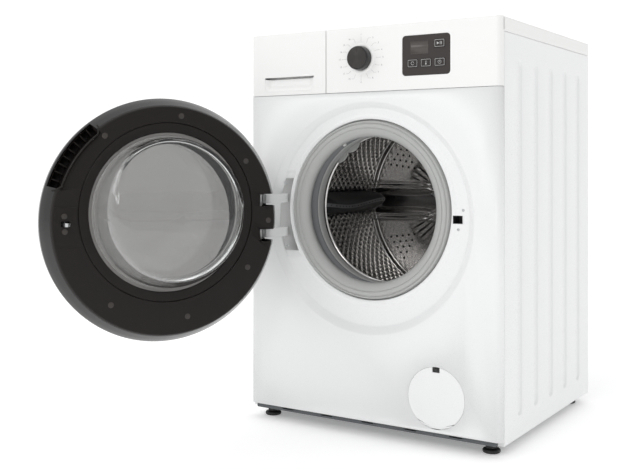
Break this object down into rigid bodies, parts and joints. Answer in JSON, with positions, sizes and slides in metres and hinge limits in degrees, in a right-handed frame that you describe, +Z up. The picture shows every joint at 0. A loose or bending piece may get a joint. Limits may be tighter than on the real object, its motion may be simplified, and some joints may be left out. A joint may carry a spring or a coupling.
{
  "type": "front load washing machine",
  "caption": "White front load washing machine with a round dark door open to the left, showing the drum, a detergent drawer, a programme knob and a display window.",
  "frame": {"origin": "On the floor, under the middle of the cabinet's footprint.", "axes": "+Z up, +X to the right seen from the front, the front faces -Y."},
  "size_m": [0.7718, 1.0438, 0.85],
  "materials": {
    "painted_steel": "white powder coat, satin",
    "galvanised": "galvanised sheet",
    "white_plastic": "satin white moulding",
    "grey_plastic": "natural filled polypropylene",
    "dark_plastic": "black moulding",
    "gloss_black": "high gloss black-brown",
    "worktop_board": "melamine-faced chipboard, white",
    "gasket_rubber": "grey EPDM",
    "black_rubber": "black EPDM",
    "stainless": "stainless steel",
    "steel": "plain steel",
    "die_cast": "die cast",
    "concrete": "cast concrete",
    "clear_glass": "pressed borosilicate",
    "tinted_window": "tinted transparent",
    "circuit_board": "green solder mask",
    "blue_plastic": "blue moulding"
  },
  "bodies": {
    "cabinet": {"base_frame": "dark_plastic", "side_panel_left": "painted_steel", "side_panel_right": "painted_steel", "rear_panel": "galvanised", "worktop": "worktop_board", "front_panel": "painted_steel", "control_fascia": "white_plastic", "display_window": "gloss_black", "control_board": "circuit_board", "drawer_housing": "grey_plastic", "hinge_bracket": "steel", "door_lock": "dark_plastic", "door_gasket": "gasket_rubber", "spring_left": "steel", "spring_right": "steel", "damper_tube_left": "dark_plastic", "damper_tube_right": "dark_plastic", "drain_pump": "grey_plastic", "sump_hose": "black_rubber", "drain_hose": "dark_plastic", "inlet_valve": "white_plastic", "fill_hose": "black_rubber", "cord_gland": "dark_plastic"},
    "tub": {"tub_front": "grey_plastic", "tub_rear": "grey_plastic", "drum_bearing": "steel", "counterweight_front": "concrete", "counterweight_top": "concrete", "heater": "stainless", "motor": "steel", "drive_belt": "black_rubber", "damper_rod_left": "grey_plastic", "damper_rod_right": "grey_plastic"},
    "drum": {"drum_shell": "stainless", "lifter_left": "dark_plastic", "lifter_lower": "dark_plastic", "lifter_upper": "dark_plastic", "drum_spider": "die_cast", "drum_pulley": "die_cast"},
    "rotor": {"motor_pulley": "steel"},
    "door": {"door_cover": "gloss_black", "door_window": "tinted_window", "door_inner_frame": "dark_plastic", "door_glass_ring": "dark_plastic", "door_glass": "clear_glass", "hinge_pin": "steel"},
    "hook": {"door_hook": "steel"},
    "drawer": {"drawer_front": "white_plastic", "drawer_tray": "white_plastic"},
    "knob": {"programme_knob": "dark_plastic"},
    "start_key": {"button_start": "gloss_black"},
    "speed_key": {"button_speed": "gloss_black"},
    "heat_key": {"button_heat": "gloss_black"},
    "delay_key": {"button_delay": "gloss_black"},
    "flap": {"filter_flap": "white_plastic"},
    "cap": {"filter_cap": "blue_plastic"},
    "foot_fl": {"foot_front_left": "black_rubber"},
    "foot_fr": {"foot_front_right": "black_rubber"},
    "foot_rl": {"foot_rear_left": "black_rubber"},
    "foot_rr": {"foot_rear_right": "black_rubber"}
  },
  "joints": [
    {"name": "door_hinge", "type": "hinge", "parent": "cabinet", "child": "door", "pos_m": [-0.224, -0.336, 0.452], "axis": [0, 0, 1], "range_deg": [-8, 121.5]},
    {"name": "hook_pivot", "type": "hinge", "parent": "door", "child": "hook", "pos_m": [-0.40244, -0.72862, 0.4545], "axis": [0, 0, 1], "range_deg": [-6, 0], "stiffness_Nm_per_rad": 0.6, "springref_deg": 8.59},
    {"name": "drawer_slide", "type": "slide", "parent": "cabinet", "child": "drawer", "axis": [0, -1, 0], "range_m": [0, 0.2]},
    {"name": "knob_turn", "type": "hinge", "parent": "cabinet", "child": "knob", "pos_m": [-0.0116, -0.272, 0.784], "axis": [0, 1, 0], "continuous": true},
    {"name": "start_press", "type": "slide", "parent": "cabinet", "child": "start_key", "axis": [0, 1, 0], "range_m": [0, 0.0014], "stiffness_N_per_m": 700, "springref_m": -0.0012},
    {"name": "speed_press", "type": "slide", "parent": "cabinet", "child": "speed_key", "axis": [0, 1, 0], "range_m": [0, 0.0014], "stiffness_N_per_m": 700, "springref_m": -0.0012},
    {"name": "heat_press", "type": "slide", "parent": "cabinet", "child": "heat_key", "axis": [0, 1, 0], "range_m": [0, 0.0014], "stiffness_N_per_m": 700, "springref_m": -0.0012},
    {"name": "delay_press", "type": "slide", "parent": "cabinet", "child": "delay_key", "axis": [0, 1, 0], "range_m": [0, 0.0014], "stiffness_N_per_m": 700, "springref_m": -0.0012},
    {"name": "tub_bounce", "type": "slide", "parent": "cabinet", "child": "tub", "axis": [0, 0, 1], "range_m": [-0.01, 0.01], "stiffness_N_per_m": 14000, "springref_m": 0.02753, "deforming": ["door_gasket", "spring_left", "spring_right", "fill_hose", "sump_hose"]},
    {"name": "drum_spin", "type": "hinge", "parent": "tub", "child": "drum", "pos_m": [0, 0, 0.469], "axis": [0, 1, 0], "continuous": true},
    {"name": "rotor_spin", "type": "hinge", "parent": "tub", "child": "rotor", "pos_m": [0.085, 0.228, 0.155], "axis": [0, 1, 0], "continuous": true},
    {"name": "flap_hinge", "type": "hinge", "parent": "cabinet", "child": "flap", "pos_m": [0.16, -0.273, 0.04], "axis": [1, 0, 0], "range_deg": [0, 90]},
    {"name": "cap_turn", "type": "hinge", "parent": "cabinet", "child": "cap", "pos_m": [0.16, -0.232, 0.1], "axis": [0, -1, 0], "range_deg": [0, 90]},
    {"name": "foot_screw_front_left", "type": "slide", "parent": "cabinet", "child": "foot_fl", "axis": [0, 0, -1], "range_m": [0, 0.012]},
    {"name": "foot_screw_front_right", "type": "slide", "parent": "cabinet", "child": "foot_fr", "axis": [0, 0, -1], "range_m": [0, 0.012]},
    {"name": "foot_screw_rear_left", "type": "slide", "parent": "cabinet", "child": "foot_rl", "axis": [0, 0, -1], "range_m": [0, 0.012]},
    {"name": "foot_screw_rear_right", "type": "slide", "parent": "cabinet", "child": "foot_rr", "axis": [0, 0, -1], "range_m": [0, 0.012]}
  ],
  "couplings": [
    {"joint": "rotor_spin", "follows": "drum_spin", "ratio": 12.727}
  ]
}
